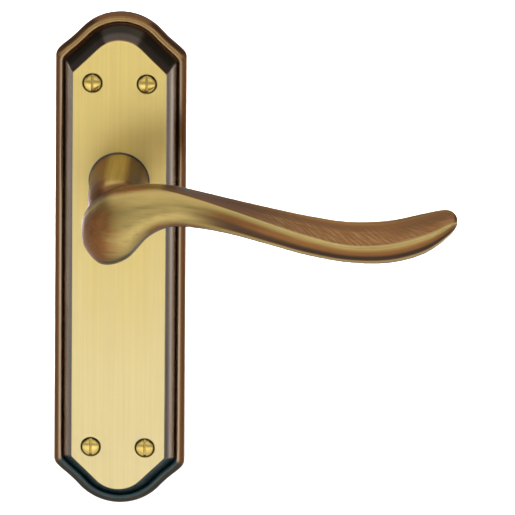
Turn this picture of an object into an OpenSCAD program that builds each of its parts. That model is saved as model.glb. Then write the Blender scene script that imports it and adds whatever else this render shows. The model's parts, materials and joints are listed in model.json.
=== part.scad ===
/* Lever handle lockset: one lever on a long moulded backplate, with its sprung
   cassette, spindle and fixing screws. Millimetres. The origin is on the spindle
   axis in the plane of the door face. The front faces -Y, the lever points to +X. */

/* [Backplate] */
// Height of the backplate
plate_h = 180; // [176:1:190]
// Width of the backplate
plate_w = 46; // [46:0.5:48]
// Distance from the door face to the front of the raised panel
plate_d = 11; // [11:0.5:13]
// Spindle axis above the middle of the backplate
spindle_rise = 31; // [25:1:40]
// Width of the raised flat panel
panel_w = 32.4; // [32:0.1:33]
// Thickness of the metal behind the raised panel
panel_t = 2.2; // [1.8:0.1:2.2]

/* [Fixing screws] */
// Distance between the screws across the plate
screw_gap_x = 19; // [17:0.5:20]
// Distance between the screws along the plate
screw_gap_z = 133.4; // [128:0.1:136]
// Diameter of the screw shank behind the plate
shank_d = 3.5; // [3:0.1:3.8]
// Diameter of the raised countersunk head
head_d = 6.4; // [6:0.1:6.6]
// Length of a screw below its head's rim
screw_l = 30; // [25:1:38]

/* [Lever] */
// Diameter of the round neck
neck_d = 20.6; // [20:0.1:21]
// Diameter of the journal that turns in the bush
journal_d = 16; // [15.8:0.1:16]
// Angle that the lever turns before it meets its stop
turn_max = 45; // [35:1:45]

/* [Spindle] */
// Side of the square spindle
spindle_s = 8; // [7.6:0.1:8]
// Length of the spindle
spindle_l = 100; // [90:5:130]
// Depth of the spindle in the lever, measured from the door face
spindle_in = 22; // [20:1:24]

/* [Return spring] */
// Diameter of the spring wire
wire_d = 1; // [0.8:0.1:1]
// Mean radius of the spring's coil
coil_r = 14.3; // [14.1:0.1:14.4]
// Turns of the spring's coil
coil_turns = 1.75; // [1.25:0.5:1.75]

/* [Hidden] */

$fn = 64;
eps = 0.01;

// Colours
BRASS = "#c9ad62";
BRONZE = "#8a6440";
STEEL = "#a7abb0";
DARK_STEEL = "#5d6167";
NYLON = "#2b2b2d";
RUBBER = "#1c1c1e";

// Outline of the plate: each step is [radius, turn in degrees, points], turning
// clockwise from the middle of the top edge; a turn of 0 is a straight length
shoulder_turn = 41.5;
outer_steps = [[19, 48, 8], [47.5, -9.4, 4], [18, 9.9, 2]];
panel_arch_r = 10.6;
panel_corner_r = 0.8;
panel_turn = 45;
panel_rest = panel_w / 2 - (panel_arch_r - panel_corner_r) * sin(panel_turn) - panel_corner_r;
panel_steps = [[panel_arch_r, panel_turn, 8], [panel_rest / cos(panel_turn), 0, 6],
               [panel_corner_r, panel_turn, 4]];
// Raised panel's top below the plate's top
panel_drop = 7.9;
// Straight back edge of the plate, before the moulding starts
rim_d = 1.9;

// Moulding from the rim to the panel: [share of the way in, depth from the door]
moulding = [[0, rim_d], [0.022, 2.79], [0.085, 3.53], [0.18, 4.03], [0.29, 4.2], [0.36, 4.05],
            [0.41, 3.75], [0.435, 3.35], [0.47, 3.55], [0.66, 6.05], [0.83, 8.45],
            [0.955, 10.3], [0.99, 10.94], [1, plate_d]];

// Hollow behind the plate: wide part for the cassette and deep part for the bush
wide_share = 0.745;
wide_d = 6;
deep_share = 1.15;

// Screw pillars and holes
pillar_r = 4.6;
pillar_back = 0.2;
screw_hole_r = 2.2;
sink_gap = 0.3;
sink_d = 2.6;
crown_h = 1.1;
crown_steps = 6;
sleeve_r = shank_d / 2 + 0.3;
sleeve_cut = 0.2;
thread_pitch = 1.3;
thread_core = 0.68;
plain_l = 8;
slot_w = 0.9;
slot_d = 0.9;

// Neck, journal and what is stacked on it, as depths from the door face
washer_t = 0.5;
running = 0.05;
seat = 0.02;
neck_r = neck_d / 2;
journal_r = journal_d / 2;
neck_face = plate_d + washer_t + 0.1;
bush_r = 10;
bush_flange_r = 12.4;
shoulder_d = 5.4;
stub_r = 7;
stub_flat = 5.8;
stub_end = 0.3;
clip_groove_r = 6.2;
clip_groove_d = 1.5;
clip_t = 0.8;
clip_r = 8.6;
clip_gap = 5;

// Cassette
cup_r = 17.4;
cup_t = 0.8;
cup_back = 1.6;
cup_hole_r = 8.4;
cover_back = 0.9;
cover_hole_r = 10.2;
ear_w = 8;
ear_reach = 20.4;
ear_end = 3;
boss_r = 2.8;
small_screw_r = 1.5;
small_head_r = 2.7;
small_head_t = 0.75;
small_screw_l = 6.4;

// Drive cam and its stops
cam_r = 13;
cam_front = 4;
cam_back = 2.2;
stop_r = 10.4;
stop_angle = 60;
stop_pin_r = 1;
buffer_r = 1.45;
stop_slot_r = 1.8;
stack_r = 9.2;
stack_hole_r = stub_r + 0.15;

// Return spring
coil_angle = -80;
leg_gap = 0.2;
notch_l = 1.6;
coil_rise = 1.1;
coil_front = 4.5;
wire_sides = 8;
anchor_r = 0.7;
anchor_at = 15.75;

// Lever sections along X: [x, top z, bottom z, middle depth, half depth,
// start angle of the flat facet, end angle, how flat the facet is]
sections = [
    [-11.2, -7.5, -8.1, 41.5, 0.3, 84, 100, 0],
    [-9.6, -1.3, -14.2, 42.5, 6.4, 84, 100, 0],
    [-3.5, 5.9, -19.2, 44.3, 10.6, 82, 105, 0.05],
    [5, 8.8, -16.6, 45.5, 11.5, 80, 110, 0.15],
    [13, 9.9, -7.8, 46.5, 10.2, 75, 118, 0.35],
    [21, 9.9, -3.9, 47.5, 8.8, 65, 122, 0.6],
    [31, 8.4, -4.1, 48.5, 8, 53, 126, 0.85],
    [42, 6.2, -5.9, 49, 7.6, 39, 128, 1],
    [55, 3.8, -9.2, 49.5, 7.4, 23, 130, 1],
    [68, 1.5, -12.6, 49.5, 7.4, 11, 132, 1],
    [82, -0.4, -15, 49, 7.5, 3, 132, 1],
    [96, 0.2, -15.2, 48, 7.6, 3, 132, 1],
    [108, 2.6, -12.1, 46.8, 7.2, 3, 130, 1],
    [116.6, 3.5, -6.2, 46, 5, 4, 125, 1],
    [119.9, -0.5, -1.3, 45.5, 0.3, 10, 120, 1]];
section_power = 2.25;
section_points = 40;
facet_points = 12;
section_steps = 4;
// Neck: a taper to this depth and radius, then a round nose buried in the grip
neck_in = 35;
neck_front_r = 9.5;
neck_end = 47;
nose_points = 10;

// Points of an outline, walked step by step from a point and a heading
function arc_from(p, a, r, turn, n) = [for (i = [1 : n])
    let (b = a + turn * i / n, s = sign(turn))
    [p[0] + s * r * (sin(b) - sin(a)), p[1] + s * r * (cos(b) - cos(a))]];
function line_from(p, a, l, n) = [for (i = [1 : n]) p + l * i / n * [cos(a), -sin(a)]];
function step_from(p, a, s) = s[1] == 0 ? line_from(p, a, s[0], s[2])
    : arc_from(p, a, s[0], s[1], s[2]);
function walk(p, a, steps, i = 0) = i == len(steps) ? []
    : let (q = step_from(p, a, steps[i]))
      concat(q, walk(q[len(q) - 1], a + steps[i][1], steps, i + 1));
function quarter_to_full(q, top) =
    let (n = len(q),
         right = concat(q, [for (i = [n - 1 : -1 : 0]) [q[i][0], -q[i][1]]], [[0, -top]]),
         left = [for (i = [len(right) - 2 : -1 : 0]) [-right[i][0], right[i][1]]])
    concat([[0, top]], right, left);

plate_top = plate_h / 2;
panel_top = plate_top - panel_drop;
outer_walk = walk([0, plate_top], 0, outer_steps);
outer_last = outer_walk[len(outer_walk) - 1];
shoulder_r = (plate_w / 2 - outer_last[0]) / (1 - sin(90 - shoulder_turn));
outer_quarter = concat(outer_walk, arc_from(outer_last, 90 - shoulder_turn, shoulder_r,
                                            shoulder_turn, 4));
panel_quarter = walk([0, panel_top], 0, panel_steps);
outer_line = quarter_to_full(outer_quarter, plate_top);
panel_line = quarter_to_full(panel_quarter, panel_top);

function outline_at(share) = [for (i = [0 : len(outer_line) - 1])
    (1 - share) * outer_line[i] + share * panel_line[i]];

// A 2D outline in the plate's plane, extruded from one depth to another
module plate_slab(share, front, back) {
    translate([0, -back, -spindle_rise])
        rotate([90, 0, 0])
            linear_extrude(front - back)
                polygon(outline_at(share));
}

// Rings of points joined into one closed skin, with a flat cap at each end
module skin(rings) {
    n = len(rings[0]);
    last = len(rings) - 1;
    sides = [for (r = [0 : last - 1], i = [0 : n - 1])
        let (j = (i + 1) % n) [r * n + i, r * n + j, (r + 1) * n + j, (r + 1) * n + i]];
    first_cap = [for (i = [n - 1 : -1 : 0]) i];
    last_cap = [for (i = [0 : n - 1]) last * n + i];
    polyhedron([for (ring = rings) each ring], concat([first_cap], sides, [last_cap]),
               convexity = 6);
}

// Round things about the spindle axis, placed by their depths from the door face
module disc(r, front, back) {
    translate([0, -back, 0])
        rotate([90, 0, 0])
            cylinder(r = r, h = front - back);
}

module ring(r, hole, front, back) {
    difference() {
        disc(r, front, back);
        disc(hole, front + 1, back - 1);
    }
}

module at_screws() {
    for (x = [-1, 1], z = [-1, 1])
        translate([x * screw_gap_x / 2, 0, z * screw_gap_z / 2 - spindle_rise])
            children();
}

module at_ears() {
    for (z = [-1, 1])
        translate([0, 0, z * ear_reach])
            children();
}

module at_stops() {
    for (a = [stop_angle, stop_angle + 180])
        rotate([0, -a, 0])
            translate([stop_r, 0, 0])
                children();
}

module raised_moulding() {
    skin([for (m = moulding) [for (p = outline_at(m[0])) [p[0], -m[1], p[1] - spindle_rise]]]);
}

module backplate() {
    color(BRASS)
    difference() {
        union() {
            difference() {
                union() {
                    plate_slab(0, rim_d, 0);
                    raised_moulding();
                }
                plate_slab(wide_share, wide_d, -1);
                plate_slab(deep_share, plate_d - panel_t, -1);
            }
            at_screws() disc(pillar_r, plate_d - panel_t + eps, pillar_back);
            at_ears() disc(boss_r, plate_d - panel_t + eps, cup_back + cup_t);
        }
        disc(bush_r + seat, plate_d + 1, -1);
        at_screws() {
            disc(screw_hole_r, plate_d + 1, -1);
            translate([0, -plate_d, 0])
                rotate([-90, 0, 0])
                    cylinder(r1 = head_d / 2 + sink_gap, r2 = screw_hole_r, h = sink_d);
        }
        at_ears() disc(small_screw_r + running, cup_back + small_screw_l, 0);
    }
}

// Wood screw profile: crown, countersunk head, shank, ring threads and point
function crown_points(n) = [for (i = [0 : n]) let (a = 90 - i * 90 / n)
    [head_d / 2 * cos(a), -crown_h * sin(a)]];
function thread_points(from, n, r) = [for (i = [0 : n - 1])
    each [[r * thread_core, from + i * thread_pitch],
          [r, from + (i + 0.4) * thread_pitch],
          [r, from + (i + 0.6) * thread_pitch]]];

module one_screw() {
    r = shank_d / 2;
    thread_from = plate_d + plain_l;
    thread_n = floor((screw_l - thread_from - shank_d) / thread_pitch);
    thread_end = thread_from + thread_n * thread_pitch;
    profile = concat(crown_points(crown_steps),
                     [[sleeve_r, sink_d - sleeve_cut], [r, plate_d], [r, thread_from - sleeve_cut]],
                     thread_points(thread_from, thread_n, r),
                     [[r * thread_core, thread_end], [0, screw_l]]);
    translate([0, -plate_d, 0])
        rotate([-90, 0, 0])
            difference() {
                rotate_extrude() polygon(profile);
                translate([-slot_w / 2, -head_d, -crown_h - 1])
                    cube([slot_w, 2 * head_d, 1 + slot_d]);
            }
}

module fixing_screws() {
    color(BRASS) at_screws() one_screw();
}

module neck_bush() {
    color(NYLON)
    difference() {
        union() {
            disc(bush_r - seat, plate_d, wide_d);
            disc(bush_flange_r, plate_d - panel_t, wide_d);
        }
        disc(journal_r + running, plate_d + 1, 0);
    }
}

module neck_washer() {
    color(DARK_STEEL) ring(neck_r + 0.4, journal_r + 0.1, plate_d + washer_t, plate_d);
}

module ear_plate(front, back) {
    intersection() {
        translate([-ear_w / 2, -front, -ear_reach - ear_w / 2])
            cube([ear_w, front - back, 2 * ear_reach + ear_w]);
        disc(ear_reach + ear_end, front, back);
    }
}

module ear_holes() {
    at_ears() disc(small_screw_r + running, wide_d, 0);
}

module spring_housing() {
    color(STEEL)
    difference() {
        union() {
            disc(cup_r, wide_d, cup_back);
            ear_plate(cup_back + cup_t, cup_back);
        }
        disc(cup_r - cup_t, wide_d - cup_t, 0);
        disc(cup_hole_r, plate_d, 0);
        ear_holes();
        at_stops() disc(stop_pin_r + seat, plate_d, 0);
        rotate([0, -anchor_angle, 0])
            translate([anchor_at, 0, 0])
                disc(anchor_r + seat, plate_d, 0);
    }
}

module cassette_cover() {
    color(STEEL)
    difference() {
        union() {
            disc(cup_r, cup_back, cover_back);
            ear_plate(cup_back, cover_back);
        }
        disc(cover_hole_r, plate_d, 0);
        ear_holes();
    }
}

module housing_screws() {
    color(DARK_STEEL)
    at_ears()
        difference() {
            union() {
                disc(small_head_r, cover_back, cover_back - small_head_t);
                disc(small_screw_r, cover_back + small_screw_l, cover_back - eps);
            }
            translate([-small_head_r, -cover_back + small_head_t / 2, -slot_w / 4])
                cube([2 * small_head_r, small_head_t, slot_w / 2]);
        }
}

module stop_pins() {
    color(DARK_STEEL) at_stops() disc(stop_pin_r, wide_d, cup_back + 0.1);
}

module stop_buffers() {
    color(RUBBER)
    at_stops()
        difference() {
            disc(buffer_r, cam_front, cam_back);
            disc(stop_pin_r + seat, plate_d, 0);
        }
}

// The spring's outer leg rests against this pin
anchor_angle = coil_angle - asin((wire_d / 2 + anchor_r + 0.1) / anchor_at);

module spring_anchor_pin() {
    color(DARK_STEEL)
    rotate([0, -anchor_angle, 0])
        translate([anchor_at, 0, 0])
            disc(anchor_r, wide_d, cup_back + 0.1);
}

// Three-wave spring washer between the cassette's floor and the thrust washer
wave_hole = stack_hole_r;
wave_t = 0.2;
wave_swing = 0.15;
wave_mid = 4.9;
module wave_washer() {
    n = 72;
    function swing(a) = wave_mid + wave_swing * cos(3 * a);
    corners = [for (i = [0 : n - 1]) let (a = i * 360 / n, d = swing(a))
        for (c = [[wave_hole, -1], [stack_r, -1], [stack_r, 1], [wave_hole, 1]])
            [c[0] * cos(a), -d + c[1] * wave_t / 2, c[0] * sin(a)]];
    faces = [for (i = [0 : n - 1], k = [0 : 3])
        let (j = (i + 1) % n, m = (k + 1) % 4) [i * 4 + k, j * 4 + k, j * 4 + m, i * 4 + m]];
    color(STEEL) polyhedron(corners, [for (f = faces) [f[3], f[2], f[1], f[0]]]);
}

// Path of the spring: inner leg, coil, outer leg
coil_n = 52;
coil_end = coil_angle + coil_turns * 360;
inner_leg = [2.4, 1.2];
outer_leg = [0.9, 1.9];
function coil_point(r, turns) = let (a = coil_angle + turns * 360)
    [r * cos(a), -coil_front + wire_d / 2 + coil_rise * turns, r * sin(a)];
coil_path = concat([for (l = inner_leg) coil_point(coil_r - l, coil_turns)],
                   [for (i = [coil_n : -1 : 0]) coil_point(coil_r, coil_turns * i / coil_n)],
                   [for (l = outer_leg) coil_point(coil_r + l, 0)]);

function unit(v) = v / norm(v);
function ring_at(path, i) =
    let (a = path[max(i - 1, 0)], b = path[min(i + 1, len(path) - 1)],
         t = unit(b - a), u = unit(cross(t, [0, 1, 0])), v = cross(u, t))
    [for (k = [0 : wire_sides - 1]) let (w = k * 360 / wire_sides)
        path[i] + wire_d / 2 * (cos(w) * u + sin(w) * v)];

module return_spring() {
    color(DARK_STEEL) skin([for (i = [0 : len(coil_path) - 1]) ring_at(coil_path, i)]);
}

// Lever: smooth curve through the sections
function spline(p, i, t) = let (a = p[i - 1], b = p[i], c = p[i + 1], d = p[i + 2])
    0.5 * (2 * b + (c - a) * t + (2 * a - 5 * b + 4 * c - d) * t * t
           + (3 * b - a - 3 * c + d) * t * t * t);
function end_mirror(s) = [s[0], s[2], s[1], s[3], -s[4], s[5], s[6], s[7]];
padded = concat([end_mirror(sections[1])], sections, [end_mirror(sections[len(sections) - 2])]);
function power_of(c) = sign(c) * pow(abs(c), 2 / section_power);
function oval_point(s, a) = [s[0], -s[3] - s[4] * power_of(cos(a)),
                             (s[1] + s[2]) / 2 + (s[1] - s[2]) / 2 * power_of(sin(a))];
function facet_angle(s, k) = k < facet_points ? s[5] + (s[6] - s[5]) * k / facet_points
    : s[6] + (s[5] + 360 - s[6]) * (k - facet_points) / (section_points - facet_points);
function section_ring(s) = let (f = oval_point(s, s[5]), b = oval_point(s, s[6]))
    [for (k = [0 : section_points - 1])
        let (p = oval_point(s, facet_angle(s, k)), u = k / facet_points)
        k < facet_points ? p + (f + (b - f) * u - p) * s[7] : p];
grip_rows = [for (i = [1 : len(padded) - 3], k = [0 : section_steps - 1])
    if (i > 1 || k > 0) spline(padded, i, k / section_steps)];

module grip() {
    skin([for (s = grip_rows) section_ring(s)]);
}

// Half outline of the neck: [radius, depth]
function neck_outline() = concat([[0, neck_face], [neck_r, neck_face]],
    [for (i = [0 : nose_points]) let (a = i * 90 / nose_points)
        [neck_front_r * cos(a), neck_in + (neck_end - neck_in) * sin(a)]]);

// A round end with two flats, which drives the cam
module stub(r, flat, front, back) {
    intersection() {
        disc(r, front, back);
        translate([-flat, -front, -r])
            cube([2 * flat, front - back, 2 * r]);
    }
}

// Grub screw: radius, depth from the door face, its end below the neck's skin, and its key
grub_r = 2.5;
grub_at = 17;
grub_sunk = 0.8;
key_s = 2.5;
key_l = 3;
module lever() {
    color(BRONZE)
    difference() {
        union() {
            grip();
            rotate([90, 0, 0])
                rotate_extrude()
                    polygon(neck_outline());
            disc(journal_r, neck_face + eps, shoulder_d);
            stub(stub_r, stub_flat, shoulder_d + eps, stub_end);
        }
        ring(stub_r + 1, clip_groove_r, clip_groove_d, clip_groove_d - clip_t - 0.05);
        translate([-spindle_s / 2 - running, -spindle_in - 1, -spindle_s / 2 - running])
            cube([spindle_s + 2 * running, spindle_in + 2, spindle_s + 2 * running]);
        translate([0, -grub_at, -neck_r - 1])
            cylinder(r = grub_r + seat, h = neck_r + 1);
    }
}

module drive_cam() {
    color(STEEL)
    difference() {
        disc(cam_r, cam_front, cam_back);
        stub(stub_r + running, stub_flat + running, cam_front + 1, cam_back - 1);
        for (a = [stop_angle, stop_angle + 180])
            rotate([0, -a, 0])
                arc_slot(turn_max);
        rotate([0, -coil_end, 0])
            translate([cam_r - notch_l, -cam_front - 1, -wire_d / 2 - leg_gap])
                cube([2 * notch_l, cam_front, wire_d + 2 * leg_gap]);
    }
}

// Points along an arc about a centre
function arc_points(c, r, from, to, n) = [for (i = [0 : n])
    let (a = from + (to - from) * i / n) c + r * [cos(a), sin(a)]];

// Curved slot with round ends, from its first pin place through a turn
slot_side_points = 20;
slot_end_points = 10;
slot_end_trim = 15;
module arc_slot(turn) {
    first = [stop_r, 0];
    sweep = 180 - slot_end_trim;
    far = stop_r * [cos(turn), sin(turn)];
    translate([0, -cam_back + 1, 0])
        rotate([90, 0, 0])
            linear_extrude(cam_front - cam_back + 2)
                polygon(concat(
                    arc_points([0, 0], stop_r + stop_slot_r, 0, turn, slot_side_points),
                    arc_points(far, stop_slot_r, turn + slot_end_trim, turn + sweep, slot_end_points),
                    arc_points([0, 0], stop_r - stop_slot_r, turn, 0, slot_side_points),
                    arc_points(first, stop_slot_r, 180 + slot_end_trim, 180 + sweep, slot_end_points)));
}

module thrust_washer() {
    color(STEEL) ring(stack_r, stack_hole_r, cam_front + 0.55, cam_front + 0.05);
}

module retaining_washer() {
    color(STEEL) ring(stack_r, stack_hole_r, cam_back - 0.05, clip_groove_d + 0.05);
}

module circlip() {
    color(DARK_STEEL)
    difference() {
        ring(clip_r, clip_groove_r + running, clip_groove_d, clip_groove_d - clip_t);
        translate([-clip_gap / 2, -clip_groove_d - 1, 0])
            cube([clip_gap, clip_t + 2, clip_r + 1]);
    }
}

module spindle() {
    color(DARK_STEEL)
    translate([-spindle_s / 2, -spindle_in, -spindle_s / 2])
        cube([spindle_s, spindle_l, spindle_s]);
}

module grub_screw() {
    color(DARK_STEEL)
    translate([0, -grub_at, 0])
        difference() {
            translate([0, 0, -neck_r + grub_sunk])
                cylinder(r = grub_r, h = neck_r - grub_sunk - spindle_s / 2);
            translate([0, 0, -neck_r])
                cylinder(d = key_s, h = key_l, $fn = 6);
        }
}

backplate();
fixing_screws();
neck_bush();
neck_washer();
spring_housing();
housing_screws();
cassette_cover();
spring_anchor_pin();
stop_pins();
stop_buffers();
wave_washer();
return_spring();
lever();
drive_cam();
thrust_washer();
retaining_washer();
circlip();
spindle();
grub_screw();
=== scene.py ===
"""Looks of the lever handle lockset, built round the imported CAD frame."""

import json
import math

import bmesh
import bpy
import numpy as np
from mathutils import Matrix, Vector
from mathutils.kdtree import KDTree


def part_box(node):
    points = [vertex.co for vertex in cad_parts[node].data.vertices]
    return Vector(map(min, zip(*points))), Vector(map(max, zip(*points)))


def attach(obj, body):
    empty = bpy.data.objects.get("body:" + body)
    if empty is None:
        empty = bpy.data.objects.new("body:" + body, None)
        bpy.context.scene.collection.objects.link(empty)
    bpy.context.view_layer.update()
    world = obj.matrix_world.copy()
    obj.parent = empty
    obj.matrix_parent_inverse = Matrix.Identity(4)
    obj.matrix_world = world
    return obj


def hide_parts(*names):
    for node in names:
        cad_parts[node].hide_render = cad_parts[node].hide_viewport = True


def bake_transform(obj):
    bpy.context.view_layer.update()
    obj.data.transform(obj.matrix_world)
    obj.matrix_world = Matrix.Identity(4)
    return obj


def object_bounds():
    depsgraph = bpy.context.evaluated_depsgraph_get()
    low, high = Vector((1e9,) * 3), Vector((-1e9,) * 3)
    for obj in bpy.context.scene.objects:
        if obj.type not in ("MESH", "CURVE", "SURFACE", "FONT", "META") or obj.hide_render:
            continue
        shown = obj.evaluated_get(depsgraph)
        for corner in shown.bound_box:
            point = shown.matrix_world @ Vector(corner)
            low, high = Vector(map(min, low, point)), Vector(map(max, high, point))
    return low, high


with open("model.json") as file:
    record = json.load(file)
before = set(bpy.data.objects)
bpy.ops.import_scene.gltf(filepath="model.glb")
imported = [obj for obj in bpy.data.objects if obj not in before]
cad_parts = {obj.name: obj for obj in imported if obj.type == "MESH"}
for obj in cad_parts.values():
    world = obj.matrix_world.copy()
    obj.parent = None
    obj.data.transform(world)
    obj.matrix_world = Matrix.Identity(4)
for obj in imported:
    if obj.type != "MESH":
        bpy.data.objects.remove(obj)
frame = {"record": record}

MM = 0.001
CAD_LOW, CAD_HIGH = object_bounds()
RECORD = frame["record"]


# ---------------------------------------------------------------- the frame, in mm

def mount(name):
    return next(m for m in RECORD["mounts"] if m["name"] == name)


def node_mm(name):
    low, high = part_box(name)
    return np.array(low) / MM, np.array(high) / MM


PLATE_LOW, PLATE_HIGH = node_mm("backplate")
PLATE_W = PLATE_HIGH[0] - PLATE_LOW[0]
PLATE_H = PLATE_HIGH[2] - PLATE_LOW[2]
PLATE_D = -PLATE_LOW[1]
PLATE_MID_Z = (PLATE_HIGH[2] + PLATE_LOW[2]) / 2
LEVER_LOW, LEVER_HIGH = node_mm("lever")
SCREWS = mount("door_screws")
SCREW_X = SCREWS["dims"]["spacing_x_mm"] / 2
SCREW_Z = SCREWS["dims"]["spacing_y_mm"] / 2
SCREW_PLACES = [(x * SCREW_X, PLATE_MID_Z + z * SCREW_Z) for z in (1, -1) for x in (-1, 1)]
SHANK_R = SCREWS["dims"]["stud_r_mm"]
EAR_REACH = 20.4
EAR_PLACES = (EAR_REACH, -EAR_REACH)


# ---------------------------------------------------------------- mesh tools, in mm

SMOOTH_ANGLE = 35
ROUND_STEPS = 3


def smooth(low, high, v):
    """0 up to low and 1 from high on, with an even ease between them."""
    t = np.clip((np.asarray(v, float) - low) / (high - low), 0, 1)
    return t * t * (3 - 2 * t)


def sind(a):
    return math.sin(math.radians(a))


def cosd(a):
    return math.cos(math.radians(a))


def polar(r, angle):
    return r * cosd(angle), r * sind(angle)


def full_turn(n):
    """n angles round a circle, in radians."""
    return np.arange(n) * 2 * math.pi / n


def link(name, data):
    obj = bpy.data.objects.new(name, data)
    bpy.context.scene.collection.objects.link(obj)
    return obj


def new_object(name, points, faces):
    mesh = bpy.data.meshes.new(name)
    mesh.from_pydata((np.asarray(points, float) * MM).tolist(), [], faces)
    obj = link(name, mesh)
    tidy(obj)
    return obj


def tidy(obj, smooth_angle=SMOOTH_ANGLE):
    """Small gaps closed, faces outward, smooth shading, and sharp edges where the surface turns further."""
    bm = bmesh.new()
    bm.from_mesh(obj.data)
    gaps = [e for e in bm.edges if e.is_boundary]
    if gaps:
        bmesh.ops.holes_fill(bm, edges=gaps, sides=4)
    bmesh.ops.recalc_face_normals(bm, faces=bm.faces)
    limit = math.radians(smooth_angle)
    for face in bm.faces:
        face.smooth = True
    for edge in bm.edges:
        edge.smooth = not (edge.is_manifold and edge.calc_face_angle(0) > limit)
    bm.to_mesh(obj.data)
    bm.free()


def side_faces(count, n):
    """The quads between one ring of n points and the next."""
    return [(r * n + i, r * n + (i + 1) % n, (r + 1) * n + (i + 1) % n, (r + 1) * n + i)
            for r in range(count - 1) for i in range(n)]


def loft(name, rings):
    """A closed skin through rings of points, capped at both ends."""
    rings = np.asarray(rings, float)
    count, n = rings.shape[:2]
    caps = [tuple(range(n - 1, -1, -1)), tuple((count - 1) * n + i for i in range(n))]
    return new_object(name, rings.reshape(-1, 3), side_faces(count, n) + caps)


def hoop(name, rings):
    """A closed skin through rings of points, with the last joined to the first."""
    rings = np.asarray(rings, float)
    count, n = rings.shape[:2]
    last = (count - 1) * n
    seam = [(last + i, last + (i + 1) % n, (i + 1) % n, i) for i in range(n)]
    return new_object(name, rings.reshape(-1, 3), side_faces(count, n) + seam)


def spin_rings(profile, n, centre=(0, 0)):
    """Rings about an axis along Y through (x, z) centre. Profile points are (radius, depth from the door)."""
    a = full_turn(n)
    return [np.stack([centre[0] + r * np.cos(a), np.full(n, -d), centre[1] + r * np.sin(a)], 1)
            for r, d in profile]


def lathe(name, profile, n=96, centre=(0, 0), closed=False):
    """A turned solid, or a ring where the profile is closed."""
    return (hoop if closed else loft)(name, spin_rings(profile, n, centre))


def rod(name, r, front, back, n, centre=(0, 0)):
    """A round bar along Y between two depths."""
    return lathe(name, [(0, front), (r, front), (r, back), (0, back)], n, centre)


def rounded(profile, bevel, closed=True):
    """The profile with its corners rounded by small arcs."""
    out, n = [], len(profile)
    pts = [np.array(p, float) for p in profile]
    for i, p in enumerate(pts):
        if not closed and i in (0, n - 1):
            out.append(tuple(p))
            continue
        a, b = pts[i - 1] - p, pts[(i + 1) % n] - p
        la, lb = np.linalg.norm(a), np.linalg.norm(b)
        trim = min(bevel, 0.4 * la, 0.4 * lb)
        s, e = p + a / la * trim, p + b / lb * trim
        for k in range(ROUND_STEPS + 1):
            t = k / ROUND_STEPS
            out.append(tuple((1 - t) ** 2 * s + 2 * t * (1 - t) * p + t * t * e))
    return out


def block(name, low, high, bevel=0.0):
    """A closed box with chamfered edges."""
    bm = bmesh.new()
    bmesh.ops.create_cube(bm, size=1)
    low, high = np.array(low, float) * MM, np.array(high, float) * MM
    for v in bm.verts:
        v.co = Vector((low + high) / 2 + (high - low) * np.array(v.co))
    if bevel:
        bmesh.ops.bevel(bm, geom=bm.edges[:], offset=bevel * MM, segments=2, affect="EDGES", profile=0.5)
    mesh = bpy.data.meshes.new(name)
    bm.to_mesh(mesh)
    bm.free()
    obj = link(name, mesh)
    tidy(obj, 25)
    return obj


def cut(obj, tool, operation="DIFFERENCE"):
    """Applies one exact boolean and removes the tool."""
    mod = obj.modifiers.new("cut", "BOOLEAN")
    mod.operation, mod.solver, mod.object = operation, "EXACT", tool
    graph = bpy.context.evaluated_depsgraph_get()
    mesh = bpy.data.meshes.new_from_object(obj.evaluated_get(graph))
    old = obj.data
    obj.modifiers.clear()
    obj.data = mesh
    bpy.data.meshes.remove(old)
    tidy(obj)
    bpy.data.objects.remove(tool)


def even_normals(obj):
    """Flat faces keep flat shading beside small rounded edges."""
    mod = obj.modifiers.new("normals", "WEIGHTED_NORMAL")
    mod.keep_sharp, mod.weight = True, 60


def vertices_of(obj):
    co = np.zeros(len(obj.data.vertices) * 3)
    obj.data.vertices.foreach_get("co", co)
    return co.reshape(-1, 3) / MM


def set_vertices(obj, points):
    obj.data.vertices.foreach_set("co", (points * MM).astype(np.float32).ravel())
    obj.data.update()


def paint(obj, name, values):
    layer = obj.data.attributes.new(name, "FLOAT", "POINT")
    layer.data.foreach_set("value", np.asarray(values, np.float32))


def paint_vectors(obj, name, values):
    layer = obj.data.attributes.new(name, "FLOAT_VECTOR", "POINT")
    layer.data.foreach_set("vector", values.astype(np.float32).ravel())


def tree_of(points):
    tree = KDTree(len(points))
    for i, p in enumerate(points):
        tree.insert(p, i)
    tree.balance()
    return tree


def dress(obj, body, materials, node):
    """The piece's materials, the body it moves with, and the CAD node that it stands for."""
    for m in materials:
        obj.data.materials.append(m)
    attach(obj, body)
    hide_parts(node)


# ---------------------------------------------------------------- materials

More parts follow.
